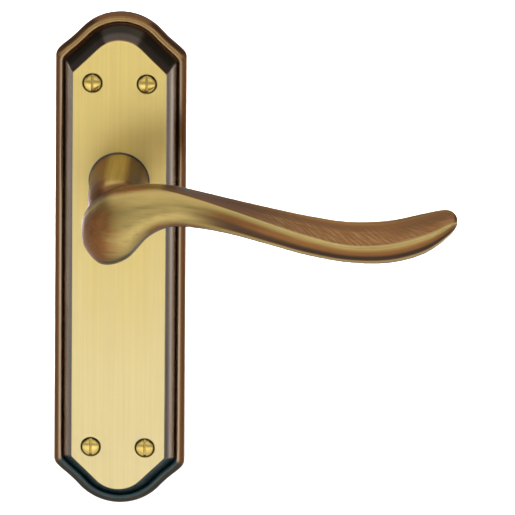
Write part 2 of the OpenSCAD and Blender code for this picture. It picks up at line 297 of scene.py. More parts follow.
class Graph:
    """A material's nodes, with sockets linked or set by name."""

    def __init__(self, name):
        self.material = bpy.data.materials.new(name)
        self.material.use_nodes = True
        self.nodes = self.material.node_tree.nodes
        self.links = self.material.node_tree.links
        self.shader = self.nodes["Principled BSDF"]

    def put(self, socket, value):
        if isinstance(value, bpy.types.NodeSocket):
            self.links.new(value, socket)
        else:
            socket.default_value = value

    def node(self, kind, sockets=None, **settings):
        n = self.nodes.new("ShaderNode" + kind)
        for key, value in settings.items():
            setattr(n, key, value)
        for key, value in (sockets or {}).items():
            self.put(n.inputs[key], value)
        return n

    def math(self, operation, a, b=0.0, clamp=False):
        return self.node("Math", {0: a, 1: b}, operation=operation, use_clamp=clamp).outputs[0]

    def mix(self, share, a, b, blend="MIX"):
        n = self.node("Mix", {0: share}, data_type="RGBA", blend_type=blend, clamp_factor=True)
        for socket, value in ((n.inputs[6], a), (n.inputs[7], b)):
            self.put(socket, (*value, 1) if isinstance(value, tuple) else value)
        return n.outputs[2]

    def ramp(self, value, low, high):
        n = self.node("MapRange", {0: value, 1: low, 2: high}, interpolation_type="SMOOTHSTEP")
        return n.outputs[0]

    def attribute(self, name, output="Fac"):
        return self.node("Attribute", attribute_name=name).outputs[output]

    def noise(self, vector, scale, detail=3.0, rough=0.55):
        return self.node("TexNoise", {"Vector": vector, "Scale": scale, "Detail": detail,
                                      "Roughness": rough}).outputs["Fac"]

    def stretched(self, vector, scale):
        return self.node("Mapping", {"Vector": vector, "Scale": scale}).outputs[0]


STROKE_GRAIN = (110, 1200, 1)
FLECK_COLOUR = (0.05, 0.035, 0.02)
PAINTED_BANDS_SHARE = 0.85


def metal(name, colour, tint, grain, flow=None, streak=0.2, rough=0.3, swing=0.12, bump=0.15,
          patina_and_shade=None, patina_and_shade_colour=(0, 0, 0), patina_and_shade_edge=0.35, wear=None, wear_colour=(0, 0, 0),
          dark=None, dark_colour=(0, 0, 0), scratched=None, scratch_colour=(0, 0, 0),
          blotch=55.0, flecks=0.0, metallic=1.0, finish_light_and_shade=None):
    """Brushed metal: fine streaks along the grain, slow colour drift and rough or bright patches.

    flow, patina, wear, dark, scratched and coat name attributes painted on the mesh: dark is painted shade,
    and the brown layer and the painted bands hold painted shade, highlights and reflections too.
    """
    g = Graph(name)
    place = g.attribute(flow, "Vector") if flow else g.node("TexCoord").outputs["Object"]
    lines = g.noise(g.stretched(place, grain), 1.0, 4.0, 0.7)
    broad = g.noise(g.stretched(place, tuple(s * 0.25 for s in grain)), 1.0, 3.0, 0.6)
    drift = g.noise(place, blotch, 2.0, 0.5)
    # Painted bands: colour painted on the mesh, partly finish and partly painted highlights, reflections and
    # shade, makes up most of the base colour.
    if finish_light_and_shade:
        painted = g.attribute(finish_light_and_shade, "Color")
        base = g.mix(PAINTED_BANDS_SHARE, g.mix(g.ramp(drift, 0.3, 0.7), painted, colour), painted)
    else:
        base = g.mix(g.ramp(drift, 0.3, 0.7), colour, tint)
    # The brown layer: the bronzed finish's own brown with painted shade and highlights in it on the lever,
    # and painted shade alone on the panel.
    if patina_and_shade:
        ragged = g.math("ADD", g.math("MULTIPLY", lines, 0.55), g.math("MULTIPLY", broad, 0.45))
        swell = g.math("MULTIPLY", g.math("SUBTRACT", ragged, 0.5), patina_and_shade_edge)
        amount = g.math("ADD", g.attribute(patina_and_shade), swell)
        base = g.mix(g.ramp(amount, 0.0, 1.0), base, patina_and_shade_colour)
    if wear:
        mask = g.math("MULTIPLY", g.attribute(wear), g.ramp(g.math("ADD", lines, broad), 0.7, 1.25))
        base = g.mix(mask, base, wear_colour)
    if scratched:
        strokes = g.noise(g.stretched(g.attribute("stroke_flow", "Vector"), STROKE_GRAIN), 1.0, 4.0, 0.65)
        mask = g.math("MULTIPLY", g.attribute(scratched), g.ramp(strokes, 0.42, 0.72))
        base = g.mix(mask, base, scratch_colour)
    # Painted shade: the colour is darkened towards dark_colour where the dark attribute is painted.
    if dark:
        shadow = g.math("MULTIPLY", g.attribute(dark), g.math("ADD", broad, 0.5))
        base = g.mix(shadow, base, dark_colour)
    if flecks:
        spots = g.ramp(g.noise(place, 900.0, 1.0, 0.5), 0.66, 0.74)
        base = g.mix(g.math("MULTIPLY", spots, flecks), base, FLECK_COLOUR)
    mean = g.math("ADD", g.math("MULTIPLY", lines, 0.6), g.math("MULTIPLY", broad, 0.4))
    shade = g.math("ADD", g.math("MULTIPLY", g.math("SUBTRACT", mean, 0.5), 2 * streak), 1.0)
    grey = g.node("CombineColor", {0: shade, 1: shade, 2: shade}).outputs[0]
    g.put(g.shader.inputs["Base Color"], g.mix(1.0, base, grey, "MULTIPLY"))
    g.put(g.shader.inputs["Roughness"],
          g.math("ADD", g.math("MULTIPLY", g.math("SUBTRACT", mean, 0.5), 2 * swing), rough, clamp=True))
    relief = g.node("Bump", {"Height": lines, "Strength": bump, "Distance": 0.02 * MM})
    g.put(g.shader.inputs["Normal"], relief.outputs[0])
    g.shader.inputs["Metallic"].default_value = metallic
    return g.material


def moulded(name, colour, tint, rough, grain_scale, bump):
    """Moulded plastic or rubber: fine pebbled relief and slight colour drift."""
    g = Graph(name)
    place = g.node("TexCoord").outputs["Object"]
    fine = g.noise(place, grain_scale, 3.0, 0.6)
    slow = g.noise(place, 150.0, 2.0, 0.5)
    g.put(g.shader.inputs["Base Color"], g.mix(g.ramp(slow, 0.3, 0.7), colour, tint))
    g.put(g.shader.inputs["Roughness"],
          g.math("ADD", g.math("MULTIPLY", g.math("SUBTRACT", fine, 0.5), 0.2), rough, clamp=True))
    relief = g.node("Bump", {"Height": fine, "Strength": bump, "Distance": 0.03 * MM})
    g.put(g.shader.inputs["Normal"], relief.outputs[0])
    return g.material


# The panel's deeper, darker gold is painted shade over its upper part.
PANEL = metal("panel_satin_brass", (0.80, 0.66, 0.325), (0.78, 0.64, 0.30), (2600, 2600, 22),
              streak=0.14, rough=0.36, swing=0.05, bump=0.15, blotch=18.0,
              patina_and_shade="painted_top_shade", patina_and_shade_colour=(0.80, 0.615, 0.20), patina_and_shade_edge=0.1, metallic=0.5)
# The moulding's colour is mostly painted bands: bronzed finish together with painted highlights, reflections
# and shade.
MOULDING = metal("moulding_bronzed_and_painted_light", (0.15, 0.09, 0.05), (0.15, 0.09, 0.05), (700, 700, 60),
                 streak=0.16, rough=0.22, swing=0.06, bump=0.06, finish_light_and_shade="finish_light_and_shade")
CASTING = metal("raw_cast_brass", (0.50, 0.37, 0.18), (0.38, 0.27, 0.13), (420, 420, 420),
                streak=0.3, rough=0.5, swing=0.14, bump=0.9, flecks=0.35)
# The screw heads' dark ring and slot floor are painted shadow.
GILT = metal("polished_brass", (0.76, 0.58, 0.185), (0.66, 0.47, 0.12), (900, 900, 900), blotch=300.0,
             streak=0.1, rough=0.2, swing=0.05, bump=0.04, flecks=0.1, dark="rim",
             dark_colour=(0.035, 0.022, 0.006))
# The lever's brown layer is partly the bronzed finish and partly painted shade and highlights; the shade
# attribute is painted shade.
LEVER_SKIN = metal("lever_bronzed", (0.53, 0.40, 0.145), (0.45, 0.33, 0.112), (14, 1100, 1100),
                   flow="flow", streak=0.7, rough=0.4, swing=0.16, bump=0.3,
                   patina_and_shade="patina_and_shade", patina_and_shade_colour=(0.25, 0.108, 0.036), patina_and_shade_edge=1.9,
                   wear="crest", wear_colour=(0.62, 0.48, 0.19),
                   dark="shade", dark_colour=(0.055, 0.04, 0.03),
                   scratched="scratch", scratch_colour=(0.40, 0.25, 0.10), blotch=40.0)
ZINC = metal("zinc_plate", (0.62, 0.62, 0.60), (0.55, 0.57, 0.60), (260, 900, 900),
             streak=0.1, rough=0.34, swing=0.08, bump=0.12, blotch=120.0, flecks=0.15)
BLACKENED = metal("blackened_steel", (0.13, 0.13, 0.135), (0.09, 0.09, 0.10), (500, 500, 500),
                  streak=0.15, rough=0.38, swing=0.08, bump=0.15, flecks=0.2)
SPRING_STEEL = metal("spring_steel", (0.30, 0.30, 0.32), (0.24, 0.25, 0.28), (900, 900, 900),
                     streak=0.15, rough=0.28, swing=0.06, bump=0.1)
NYLON = moulded("black_nylon", (0.030, 0.030, 0.032), (0.045, 0.045, 0.047), 0.45, 2500.0, 0.2)
RUBBER = moulded("buffer_rubber", (0.018, 0.018, 0.018), (0.03, 0.03, 0.03), 0.75, 3500.0, 0.4)


# ---------------------------------------------------------------- the backplate

SHOULDER_TURN = 41.5
OUTER_STEPS = [(19, 48, 16), (47.5, -9.4, 6), (18, 9.9, 4)]
PANEL_W = 32.4
PANEL_DROP = 7.9
PANEL_ARCH_R = 10.6
PANEL_CORNER_R = 0.8
PANEL_TURN = 45
SHOULDER_POINTS = 8


def walk(point, heading, steps):
    """Points along arcs (radius, clockwise turn, count) and straights (length, 0, count)."""
    x, z = point
    out = []
    for size, turn, count in steps:
        for i in range(1, count + 1):
            b = heading + turn * i / count
            if turn:
                s = math.copysign(size, turn)
                out.append((x + s * (sind(b) - sind(heading)), z + s * (cosd(b) - cosd(heading))))
            else:
                out.append((x + size * i / count * cosd(heading), z - size * i / count * sind(heading)))
        x, z = out[-1]
        heading += turn
    return out


def all_round(quarter, top):
    """The whole outline from its first quarter, clockwise from the top."""
    right = quarter + [(x, -z) for x, z in reversed(quarter)] + [(0, -top)]
    left = [(-x, z) for x, z in reversed(right[:-1])]
    return np.array([(0, top)] + right + left)


def plate_outlines():
    top = PLATE_H / 2
    quarter = walk((0, top), 0, OUTER_STEPS)
    corner = (PLATE_W / 2 - quarter[-1][0]) / (1 - sind(90 - SHOULDER_TURN))
    quarter += walk(quarter[-1], 90 - SHOULDER_TURN, [(corner, SHOULDER_TURN, SHOULDER_POINTS)])
    rest = PANEL_W / 2 - (PANEL_ARCH_R - PANEL_CORNER_R) * sind(PANEL_TURN) - PANEL_CORNER_R
    inner = walk((0, top - PANEL_DROP), 0, [(PANEL_ARCH_R, PANEL_TURN, 16), (rest / cosd(PANEL_TURN), 0, 10),
                                            (PANEL_CORNER_R, PANEL_TURN, 8)])
    return all_round(quarter, top), all_round(inner, top - PANEL_DROP)


OUTER_LINE, PANEL_LINE = plate_outlines()


def plate_ring(share, depth):
    """The outline a share of the way from the plate's edge to the panel's, at a depth from the door."""
    line = (1 - share) * OUTER_LINE + share * PANEL_LINE
    return np.stack([line[:, 0], np.full(len(line), -depth), line[:, 1] + PLATE_MID_Z], 1)


# Section of the moulding and of the hollow behind it: (share of the way in, depth), or one of the two
RIM_D = 1.9
CREST = (0.29, 4.2)
QUIRK = (0.435, 3.5)
COVE_START = (0.475, 3.65)
COVE_END = (0.955, 10.3)
COVE_STEEPEN = 0.12
PANEL_EDGE = [(0.968, 10.6), (0.978, 10.83), (0.99, 10.96), (1.0, PLATE_D)]
WIDE_SHARE, WIDE_D = 0.745, 6
DEEP_SHARE, DEEP_D = 1.15, 8.8
PILLAR_R, PILLAR_BACK = 4.6, 0.2
BOSS_R, BOSS_BACK, BOSS_HOLE_R = 2.8, 2.4, 1.55
SINK_R, SCREW_HOLE_R, SINK_BOTTOM = 3.5, 2.2, 8.6
BORE_R, BORE_BACK = 10.02, 5
OVER = 1

# Band colours for the moulding: gold, tan, grey and slate are painted highlights and reflections; the
# near-black and umber are painted shade, and so are the teal and olive under the bottom.
BRASS = (0.62, 0.47, 0.24)
GOLD = (0.40, 0.25, 0.10)
TAN = (0.34, 0.26, 0.17)
CHESTNUT = (0.15, 0.064, 0.023)
RUSSET = (0.2, 0.115, 0.055)
UMBER = (0.13, 0.08, 0.05)
GREY = (0.46, 0.39, 0.33)
SLATE = (0.075, 0.06, 0.048)
SHADOW_BLACK = (0.026, 0.025, 0.019)
OLIVE = (0.05, 0.046, 0.036)
TEAL = (0.05, 0.098, 0.108)
# Colour of the moulding by share of the way in: down the sides, over the top and under the bottom. It is
# partly the bronzed finish and partly painted light and shade: gold and tan painted highlights on the bead,
# grey and slate painted reflections on the slopes, near-black painted shadow in the top cove and under the
# panel's edge, and teal and olive painted shade under the bottom, where the moulding faces down.
SIDE_FINISH_LIGHT_AND_SHADE = [(0, CHESTNUT), (0.22, CHESTNUT), (0.29, TAN), (0.35, TAN), (0.4, UMBER), (0.5, UMBER),
             (0.55, GREY), (0.7, GREY), (0.82, UMBER), (0.89, SHADOW_BLACK), (0.965, SHADOW_BLACK), (0.985, BRASS),
             (1, BRASS)]
TOP_FINISH_LIGHT_AND_SHADE = [(0, CHESTNUT), (0.1, CHESTNUT), (0.18, GOLD), (0.3, GOLD), (0.38, RUSSET), (0.5, UMBER),
            (0.56, SHADOW_BLACK), (0.72, SHADOW_BLACK), (0.8, SLATE), (0.93, SLATE), (0.97, CHESTNUT), (0.985, BRASS),
            (1, BRASS)]
BOTTOM_FINISH_LIGHT_AND_SHADE = [(0, OLIVE), (0.24, OLIVE), (0.36, TEAL), (0.92, TEAL), (0.97, OLIVE), (0.985, BRASS),
               (1, BRASS)]


def moulding_profile():
    """(share of the way in, depth) from the back edge to the panel."""
    rows = [(0.012, 0), (0, 0.3), (0, 1.0), (0, RIM_D)]
    rows += [(CREST[0] * (1 - cosd(a)), RIM_D + (CREST[1] - RIM_D) * sind(a))
             for a in np.linspace(7.5, 90, 12)]
    rows += [(CREST[0] + (QUIRK[0] - CREST[0]) * sind(a), QUIRK[1] + (CREST[1] - QUIRK[1]) * cosd(a))
             for a in np.linspace(11.25, 90, 8)]
    for t in np.linspace(0, 1, 19):
        rise = (1 - COVE_STEEPEN) * t + COVE_STEEPEN * t * t
        rows.append((COVE_START[0] + (COVE_END[0] - COVE_START[0]) * t,
                     COVE_START[1] + (COVE_END[1] - COVE_START[1]) * rise))
    return rows + PANEL_EDGE


def band_colour_at(stops, share):
    """The colour at one share of the way in, between the stops on either side."""
    places = [stop[0] for stop in stops]
    return np.array([np.interp(share, places, [stop[1][k] for stop in stops]) for k in range(3)])


def moulding_finish_light_and_shade(profile):
    """Colour of every point of the moulding's rings, by where the outline faces: painted light and shade, lit
    over the top and shaded underneath.
    """
    run = np.roll(OUTER_LINE, -1, 0) - np.roll(OUTER_LINE, 1, 0)
    up = run[:, 0] / np.hypot(run[:, 0], run[:, 1])
    over, under = smooth(0.2, 0.62, up)[:, None], smooth(0.2, 0.62, -up)[:, None]
    return np.concatenate([over * band_colour_at(TOP_FINISH_LIGHT_AND_SHADE, s) + under * band_colour_at(BOTTOM_FINISH_LIGHT_AND_SHADE, s)
                           + (1 - over - under) * band_colour_at(SIDE_FINISH_LIGHT_AND_SHADE, s) for s, _ in profile])


def make_backplate():
    profile = moulding_profile()
    inside = [(WIDE_SHARE - 0.01, 0), (WIDE_SHARE, 0.15), (WIDE_SHARE, WIDE_D - 0.3),
              (WIDE_SHARE + 0.02, WIDE_D), (DEEP_SHARE - 0.02, WIDE_D), (DEEP_SHARE, WIDE_D + 0.3),
              (DEEP_SHARE, DEEP_D - 0.4), (DEEP_SHARE + 0.03, DEEP_D)]
    plate = loft("backplate_casting", [plate_ring(s, d) for s, d in inside[::-1] + profile])
    root = DEEP_D + 0.3
    pillar = rounded([(0, root), (PILLAR_R, root), (PILLAR_R, PILLAR_BACK), (0, PILLAR_BACK)], 0.3,
                     closed=False)
    boss = rounded([(0, root), (BOSS_R, root), (BOSS_R, BOSS_BACK), (0, BOSS_BACK)], 0.2, closed=False)
    for x, z in SCREW_PLACES:
        cut(plate, lathe("pillar", pillar, 48, (x, z)), "UNION")
    for z in EAR_PLACES:
        cut(plate, lathe("boss", boss, 40, (0, z)), "UNION")
        cut(plate, rod("boss_hole", BOSS_HOLE_R, DEEP_D - 0.8, -OVER, 32, (0, z)))
    front, rim = PLATE_D + OVER, PLATE_D + 0.01
    sink = [(0, front), (SINK_R + 0.12, front), (SINK_R + 0.12, rim), (SINK_R, PLATE_D - 0.1),
            (SCREW_HOLE_R, SINK_BOTTOM), (SCREW_HOLE_R, -OVER), (0, -OVER)]
    for x, z in SCREW_PLACES:
        cut(plate, lathe("sink", sink, 64, (x, z)))
    bore = [(0, front), (BORE_R + 0.18, front), (BORE_R + 0.18, rim), (BORE_R, PLATE_D - 0.18),
            (BORE_R, BORE_BACK), (0, BORE_BACK)]
    cut(plate, lathe("bore", bore, 128))
    skin = tree_of(np.concatenate([plate_ring(s, d) for s, d in profile]))
    nearest = [skin.find(p)[1] for p in vertices_of(plate)]
    # The moulding's band colours, painted highlights, reflections and shade among them, go to each point from
    # the nearest point of its rings.
    paint_vectors(plate, "finish_light_and_shade", moulding_finish_light_and_shade(profile)[nearest])
    # Painted shade: the panel's gold painted deeper and slightly darker from the middle upwards.
    paint(plate, "painted_top_shade", smooth(-45, 5, vertices_of(plate)[:, 2]))
    dress(plate, "plate", [MOULDING, PANEL, CASTING], "backplate")
    for face in plate.data.polygons:  # slot 1 is the panel and slot 2 the raw casting
        c, normal = face.center / MM, face.normal
        edge = abs(c[0]) > 22.5 or normal[1] < -0.2 or c[1] < -8.9
        if -c[1] > PLATE_D - 0.2 and normal[1] < -0.9:
            face.material_index = 1
        elif in_hole(c) or not edge and is_inside(c):
            face.material_index = 2
    even_normals(plate)


def in_hole(c):
    near_screw = any(math.hypot(c[0] - x, c[2] - z) < SINK_R + 0.2 for x, z in SCREW_PLACES)
    return near_screw or math.hypot(c[0], c[2]) < BORE_R + 0.13


INSIDE_LINE = (1 - WIDE_SHARE) * OUTER_LINE + WIDE_SHARE * PANEL_LINE
INSIDE_QUARTER = INSIDE_LINE[: len(INSIDE_LINE) // 4 + 1][::-1]


def is_inside(c):
    """Within the hollow's outline, or on the flat back rim."""
    if -c[1] < 0.02:
        return True
    if -c[1] > DEEP_D + 0.05:
        return False
    x, z = abs(c[0]), abs(c[2] - PLATE_MID_Z)
    half = np.interp(z, INSIDE_QUARTER[:, 1], INSIDE_QUARTER[:, 0])
    return x < half + 0.2 and z < INSIDE_LINE[0, 1] + 0.1


# ---------------------------------------------------------------- the fixing screws

CROWN_H = -node_mm("fixing_screws")[0][1] - PLATE_D
SCREW_L = node_mm("fixing_screws")[1][1] + PLATE_D
HEAD_R = 3.2
SLEEVE_R = 2.05
THREAD_PITCH = 1.3
THREAD_CORE = 0.68
THREAD_STEPS = 150
POINT_L = 3.4
PLAIN_L = 8
SLOT_W, SLOT_D = 0.9, 0.9
SCREW_SIDES = 56


def make_screw(number, centre):
    x, z = centre
    crown = [(HEAD_R * cosd(a), PLATE_D + CROWN_H * sind(a)) for a in range(88, -1, -8)]
    sink = [(HEAD_R, PLATE_D - 0.05), (SLEEVE_R, PLATE_D - 2.4), (SHANK_R, 0), (SHANK_R, -PLAIN_L)]
    rings = spin_rings(crown + sink, SCREW_SIDES, centre)
    turns = np.arange(SCREW_SIDES) / SCREW_SIDES
    thread_l = SCREW_L - PLATE_D - PLAIN_L
    for i in range(1, THREAD_STEPS + 1):
        down = thread_l * i / THREAD_STEPS
        point = min(1.0, (thread_l - down) / POINT_L)
        saw = np.abs(((down / THREAD_PITCH - turns) % 1.0) * 2 - 1)
        tooth = np.clip((saw - 0.45) / 0.4, 0, 1) * min(1.0, down / THREAD_PITCH)
        core = THREAD_CORE if down > THREAD_PITCH else 1 - (1 - THREAD_CORE) * down / THREAD_PITCH
        r = SHANK_R * (core + (1 - core) * tooth) * max(point, 0.03)
        a = full_turn(SCREW_SIDES)
        rings.append(np.stack([x + r * np.cos(a), np.full(SCREW_SIDES, PLAIN_L + down),
                               z + r * np.sin(a)], 1))
    screw = loft("fixing_screw_%d" % number, rings)
    cut(screw, block("slot", (x - SLOT_W / 2, -PLATE_D - 3, z - 5),
                     (x + SLOT_W / 2, -PLATE_D + SLOT_D, z + 5)))
    dress(screw, "plate", [GILT], "fixing_screws")
    even_normals(screw)
    # Painted shadow: the rounded edge of the head, where it meets the countersink, and the floor of the slot
    # are painted near black.
    points = vertices_of(screw)
    from_axis = np.hypot(points[:, 0] - x, points[:, 2] - z)
    below_face = points[:, 1] + PLATE_D
    in_slot = 0.5 * (np.abs(below_face - SLOT_D) < 0.05)
    round_edge = smooth(HEAD_R - 0.45, HEAD_R - 0.1, from_axis)
    paint(screw, "rim", (below_face < SLOT_D + 0.1) * np.maximum(round_edge, in_slot))


# ---------------------------------------------------------------- the lever

# x, top z, bottom z, middle depth, half depth, facet from, facet to, how flat the facet is
LEVER_SECTIONS = np.array([
    [-11.2, -7.5, -8.1, 41.5, 0.3, 84, 100, 0], [-9.6, -1.3, -14.2, 42.5, 6.4, 84, 100, 0],
    [-3.5, 5.9, -19.2, 44.3, 10.6, 82, 105, 0.05], [5, 8.8, -16.6, 45.5, 11.5, 80, 110, 0.15],
    [13, 9.9, -7.8, 46.5, 10.2, 75, 118, 0.35], [21, 9.9, -3.9, 47.5, 8.8, 65, 122, 0.6],
    [31, 8.4, -4.1, 48.5, 8, 53, 126, 0.85], [42, 6.2, -5.9, 49, 7.6, 39, 128, 1],
    [55, 3.8, -9.2, 49.5, 7.4, 23, 130, 1], [68, 1.5, -12.6, 49.5, 7.4, 11, 132, 1],
    [82, -0.4, -15, 49, 7.5, 3, 132, 1], [96, 0.2, -15.2, 48, 7.6, 3, 132, 1],
    [108, 2.6, -12.1, 46.8, 7.2, 3, 130, 1], [116.6, 3.5, -6.2, 46, 5, 4, 125, 1],
    [119.9, -0.5, -1.3, 45.5, 0.3, 10, 120, 1]])
LEVER_SECTIONS[:3, 0] = LEVER_LOW[0] + (LEVER_SECTIONS[:3, 0] + 11.2) * (LEVER_LOW[0] + 3.5) / -7.7
LEVER_SECTIONS[-2:, 0] = 108 + (LEVER_SECTIONS[-2:, 0] - 108) * (LEVER_HIGH[0] - 108) / 11.9
SECTION_POWER = 2.25
RING_POINTS = 180
FACET_POINTS = 60
SECTION_STEPS = 10
RIDGE_SOFTENING = 4
NECK_FACE, NECK_R, NECK_IN, NECK_FRONT_R, NECK_END = 11.6, 10.3, 35, 9.5, 47
JOURNAL_R, SHOULDER_D = 8, 5.4
STUB_R, STUB_FLAT, STUB_END = 7, 5.8, 0.3
GROOVE_R, GROOVE_D, GROOVE_W = 6.2, 1.5, 0.85
SOCKET, SOCKET_D = 4.05, 23
GRUB_R, GRUB_D = 2.52, 17


def section_rows():
    """Sections interpolated by a smooth curve, with mirrored sections past both ends."""
    flip = np.array([1, 0, 0, 1, -1, 1, 1, 1])
    def mirrored(s):
        out = s * flip
        out[1], out[2] = s[2], s[1]
        return out
    p = np.vstack([mirrored(LEVER_SECTIONS[1]), LEVER_SECTIONS, mirrored(LEVER_SECTIONS[-2])])
    rows = []
    for i in range(1, len(p) - 2):
        a, b, c, d = p[i - 1:i + 3]
        for k in range(SECTION_STEPS + (i == len(p) - 3)):
            t = k / SECTION_STEPS
            rows.append(0.5 * (2 * b + (c - a) * t + (2 * a - 5 * b + 4 * c - d) * t ** 2
                               + (3 * b - a - 3 * c + d) * t ** 3))
    return np.array(rows)


def oval(row, a):
    c, s = np.cos(np.radians(a)), np.sin(np.radians(a))
    c, s = (np.sign(v) * np.abs(v) ** (2 / SECTION_POWER) for v in (c, s))
    return np.stack([np.full(np.shape(a), row[0]), -row[3] - row[4] * c,
                     (row[1] + row[2]) / 2 + (row[1] - row[2]) / 2 * s], -1)


def lever_ring(row):
    front, back = row[5], row[6]
    rest = RING_POINTS - FACET_POINTS
    a = np.concatenate([front + (back - front) * np.arange(FACET_POINTS) / FACET_POINTS,
                        back + (front + 360 - back) * np.arange(rest) / rest])
    ring = oval(row, a)
    f, b = oval(row, np.array([front, back]))
    u = np.arange(FACET_POINTS)[:, None] / FACET_POINTS
    flat = row[7] * (1 + 0.09 * smooth(60, 100, row[0]))
    ring[:FACET_POINTS] += (f + (b - f) * u - ring[:FACET_POINTS]) * flat
    for _ in range(RIDGE_SOFTENING):
        ring = (np.roll(ring, 1, 0) + 2 * ring + np.roll(ring, -1, 0)) / 4
    return ring, a


# The underside's lowest line, the facet's width, the slant of its polishing, and where the bulb ends
BOTTOM_ANGLE = 66
FACET_WIDTH = 15
STROKE_TURN = 48
BULB_END = 20
NECK_STEPS = 40
CREASE_ANGLE, JUNCTION_D = 16, (26, 46)
FILLET_REACH, FILLET_ROUNDS = 1.6, 14


def lever_paint(row, a):
    """Brown, gold wear, painted shade and scratches round one section; the brown is partly painted shade, its
    gaps partly painted highlights.

    u runs across the facet from its front ridge, and t from that ridge down to the underside.
    """
    x, front, back = row[0], row[5], row[6]
    a = np.where(a > 270, a - 360, a)
    u = (a - front) / (back - front)
    t = (front - a) / (front + BOTTOM_ANGLE)
    along, tip = smooth(22, 44, x), smooth(84, 106, x)
    facet = smooth(-0.02, 0.05, u) * (1 - smooth(1.0, 1.2, u)) * smooth(8, 26, x)
    # Painted highlight and sheen: near the tip the brown is held back along the facet's front edge, leaving a
    # bright gold line, and the facet's brown is painted lighter towards its back edge.
    rim = 0.8 * tip * (1 - smooth(0.04, 0.26, u))
    brown = facet * (1.15 - 0.45 * smooth(0.66, 1.0, u) - rim)
    crown = smooth(58, 84, a) * (1 - smooth(8, 26, x))
    late = smooth(58, 92, x)
    t_band = t + 0.14 * late + 0.12 * smooth(20, 32, x) * (1 - late)
    # Painted reflection: line keeps a gold band free of brown along the underside's lower edge. below browns
    # the lower face of the arm, partly the bronzed finish and partly painted shade.
    line = smooth(0.74, 0.79, t_band) * (1 - smooth(0.9, 0.98, t_band))
    below = smooth(0.16, 0.4, t_band + 0.04 * late) * along * (1.0 - 0.95 * line)
    ahead = np.where((a > -95) & (a < 60), 1.0, 0.0)
    patch = 1.25 * (1 - smooth(-10, 9, x)) * (1 - smooth(40, 95, np.abs(a + 12))) * ahead
    # Painted shade: heel browns the lower part of the bulb and the start of the arm.
    heel = smooth(0.55, 0.9, t) * (1 - along) * smooth(4, 16, x)
    behind = np.where(t > 1.4, 0.1, 0)
    brown = np.max([brown, crown, below, patch, heel, behind], axis=0)
    crest = np.exp(-(((a - front) / 5) ** 2)) * smooth(30, 60, x) * 0.9
    # Painted shade, for the shade attribute: a band below the front ridge along the arm, a dark line along
    # the underside's bottom, the bulb's far end, the back of the facet near the tip and a strip over the top
    # away from the tip.
    dark = 0.9 * smooth(0.42, 0.55, t_band) * (1 - smooth(0.68, 0.76, t_band)) * along
    dark = np.maximum(dark, 0.95 * smooth(0.8, 0.93, t) * (1 - smooth(1.3, 1.5, t)) * smooth(-9, 0, x))
    dark = np.maximum(dark, 0.45 * (1 - smooth(-10.5, -8, x)))
    dark = np.maximum(dark, 0.35 * facet * tip * smooth(0.3, 0.6, u))
    dark = np.maximum(dark, 0.3 * smooth(76, 90, a) * (1 - smooth(100, 120, a)) * (1 - tip))
    scratch = facet * smooth(38, 60, x) * (1 - smooth(0.45, 0.85, u)) * (1 - 0.5 * tip)
    across = np.clip(u, 0, 1) * FACET_WIDTH
    stroke = np.stack([x * cosd(STROKE_TURN) - across * sind(STROKE_TURN),
                       x * sind(STROKE_TURN) + across * cosd(STROKE_TURN), 0 * a], 1)
    return brown, crest, dark, scratch, stroke


def make_lever():
    rows = section_rows()
    rings, paints = [], []
    for row in rows:
        ring, a = lever_ring(row)
        rings.append(ring)
        paints.append(lever_paint(row, a))
    lever = loft("lever_body", rings)
    neck = [(NECK_FRONT_R * sind(a), NECK_IN + (NECK_END - NECK_IN) * cosd(a)) for a in range(0, 90, 3)]
    neck += [(NECK_FRONT_R + (NECK_R - NECK_FRONT_R) * i / NECK_STEPS,
              NECK_IN - (NECK_IN - NECK_FACE - 0.35) * i / NECK_STEPS) for i in range(NECK_STEPS + 1)]
    neck += [(NECK_R - 0.1, NECK_FACE + 0.1), (NECK_R - 0.35, NECK_FACE), (JOURNAL_R, NECK_FACE),
             (JOURNAL_R, SHOULDER_D + 0.2), (JOURNAL_R - 0.2, SHOULDER_D), (STUB_R, SHOULDER_D),
             (STUB_R, GROOVE_D), (GROOVE_R, GROOVE_D), (GROOVE_R, GROOVE_D - GROOVE_W),
             (STUB_R, GROOVE_D - GROOVE_W), (STUB_R, STUB_END + 0.15), (STUB_R - 0.2, STUB_END),
             (0, STUB_END)]
    shank = lathe("neck", neck, 160)
    for side in (-1, 1):
        x = sorted((side * STUB_FLAT, side * 9))
        cut(shank, block("flat", (x[0], -SHOULDER_D, -9), (x[1], 1, 9)))
    cut(lever, shank, "UNION")
    soften_junction(lever)
    cut(lever, block("socket", (-SOCKET, -SOCKET_D, -SOCKET), (SOCKET, 1, SOCKET)))
    cut(lever, upright(rod("grub_hole", GRUB_R, 0, -NECK_R - 1, 48)))
    points = vertices_of(lever)
    set_vertices(lever, np.clip(points, np.array(CAD_LOW) / MM, np.array(CAD_HIGH) / MM))
    flow_and_finish(lever, rows, np.concatenate(rings), paints)
    dress(lever, "handle", [LEVER_SKIN], "lever")


def upright(obj):
    """A turned piece stood along Z at the grub screw's depth."""
    p = vertices_of(obj)
    set_vertices(obj, np.stack([p[:, 0], p[:, 2] - GRUB_D, -p[:, 1]], 1))
    tidy(obj)
    return obj


